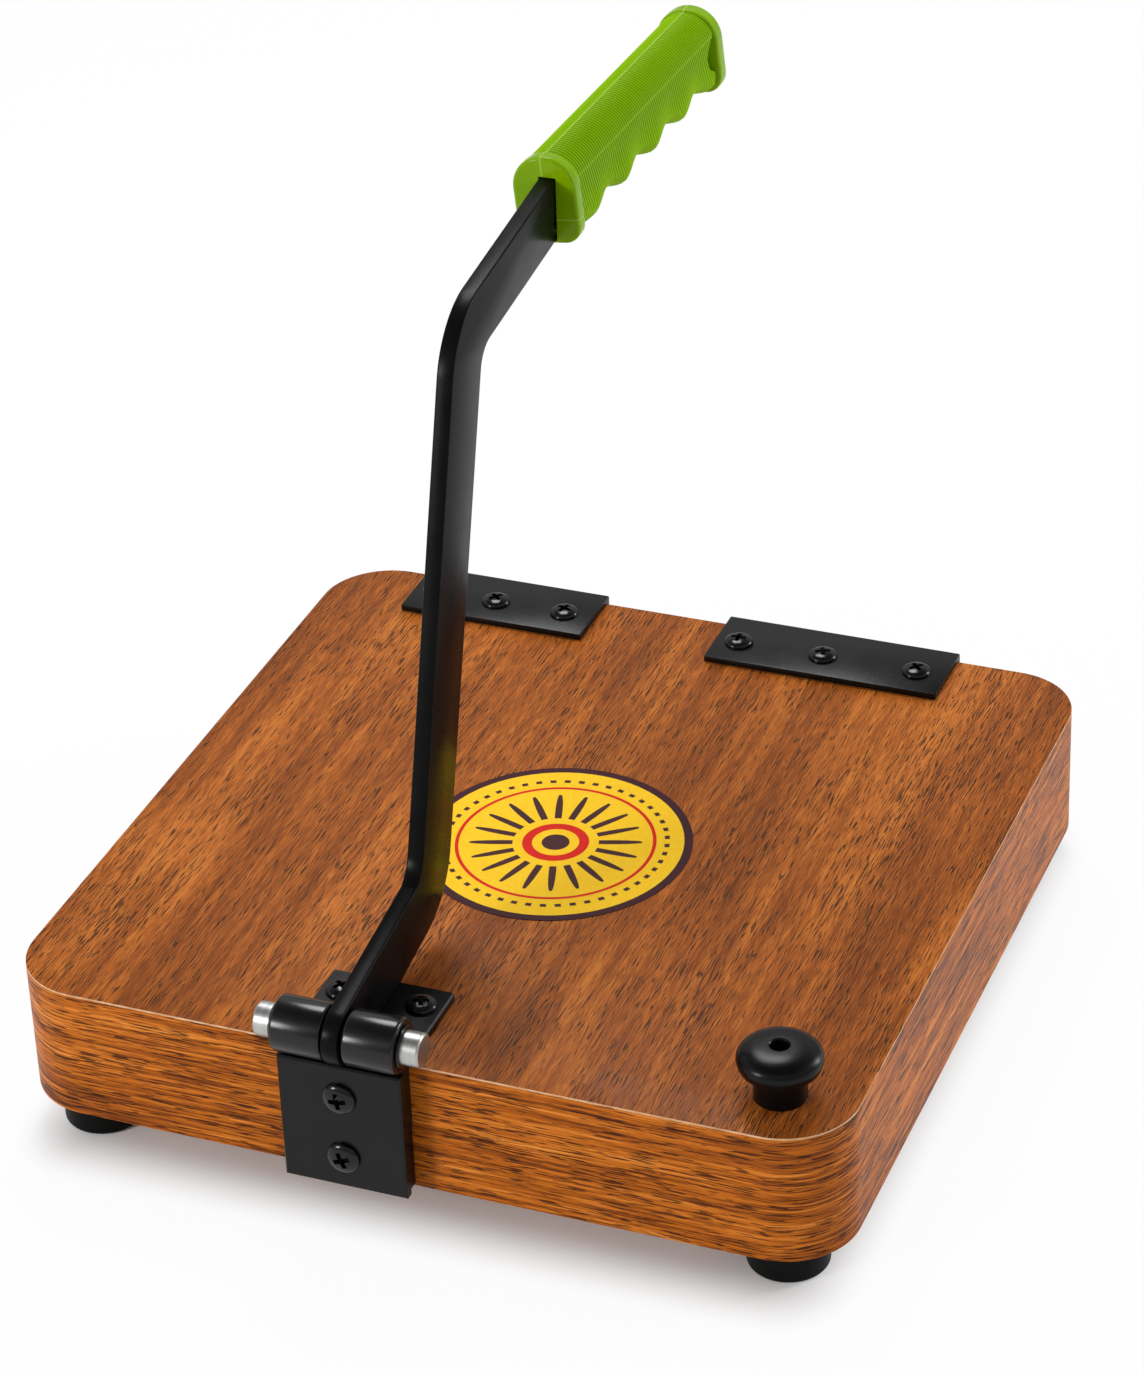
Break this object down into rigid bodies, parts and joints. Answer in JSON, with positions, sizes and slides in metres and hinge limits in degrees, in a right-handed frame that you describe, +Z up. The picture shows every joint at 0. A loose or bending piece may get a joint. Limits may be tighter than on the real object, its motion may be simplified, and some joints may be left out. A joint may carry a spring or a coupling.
{
  "type": "roti press",
  "caption": "Square hinged wooden board press on rubber feet, with a cranked steel lever, a soft grip, a front pivot bracket and a lid knob.",
  "frame": {"origin": "on the table, under the middle of the whole press's bounding box", "axes": "+Z up, -Y towards the front, where the pivot bracket is, and +X to the right as seen from the front"},
  "size_m": [0.254, 0.3118, 0.2534],
  "materials": {
    "board_core": "raw fibre board",
    "wood_laminate": "satin wood-grain laminate",
    "pressing_laminate": "smooth melamine laminate",
    "wood_edge_band": "satin streaked wood-grain band",
    "rubber_foot": "matte moulded rubber",
    "black_screw": "glossy black oxide",
    "powder_coated_steel": "satin black powder coat",
    "bright_steel": "turned bright",
    "black_plastic": "satin moulded",
    "label_vinyl": "printed vinyl",
    "green_vinyl": "soft ribbed moulding"
  },
  "bodies": {
    "base": {"base_core": "board_core", "base_pressing_laminate": "pressing_laminate", "base_bottom_laminate": "wood_laminate", "base_edge_band": "wood_edge_band", "foot_front_left": "rubber_foot", "foot_front_right": "rubber_foot", "foot_rear_left": "rubber_foot", "foot_rear_right": "rubber_foot", "foot_screws": "black_screw", "left_hinge_base_leaf": "powder_coated_steel", "left_hinge_pin": "bright_steel", "right_hinge_base_leaf": "powder_coated_steel", "right_hinge_pin": "bright_steel", "hinge_base_screws": "black_screw"},
    "lid": {"lid_core": "board_core", "lid_top_laminate": "wood_laminate", "lid_pressing_laminate": "pressing_laminate", "lid_edge_band": "wood_edge_band", "round_label": "label_vinyl", "knob": "black_plastic", "knob_screw": "black_screw", "left_hinge_lid_leaf": "powder_coated_steel", "right_hinge_lid_leaf": "powder_coated_steel", "hinge_lid_screws": "black_screw", "bracket_top_plate": "powder_coated_steel", "left_barrel": "powder_coated_steel", "right_barrel": "powder_coated_steel", "front_plate": "powder_coated_steel", "spacer_block": "powder_coated_steel", "top_plate_screws": "black_screw", "front_upper_screw": "black_screw", "front_lower_screw": "black_screw", "pivot_pin": "bright_steel", "pin_clips": "black_screw", "lever_washers": "black_screw"},
    "lever": {"lever_bar": "powder_coated_steel", "lever_grip": "green_vinyl"}
  },
  "joints": [
    {"name": "lid_open", "type": "hinge", "parent": "base", "child": "lid", "pos_m": [0, 0.11511, 0.03405], "axis": [-1, 0, 0], "range_deg": [0, 87]},
    {"name": "lever_swing", "type": "hinge", "parent": "lid", "child": "lever", "pos_m": [-0.0166, -0.14719, 0.0645], "axis": [1, 0, 0], "range_deg": [0, 138]}
  ]
}
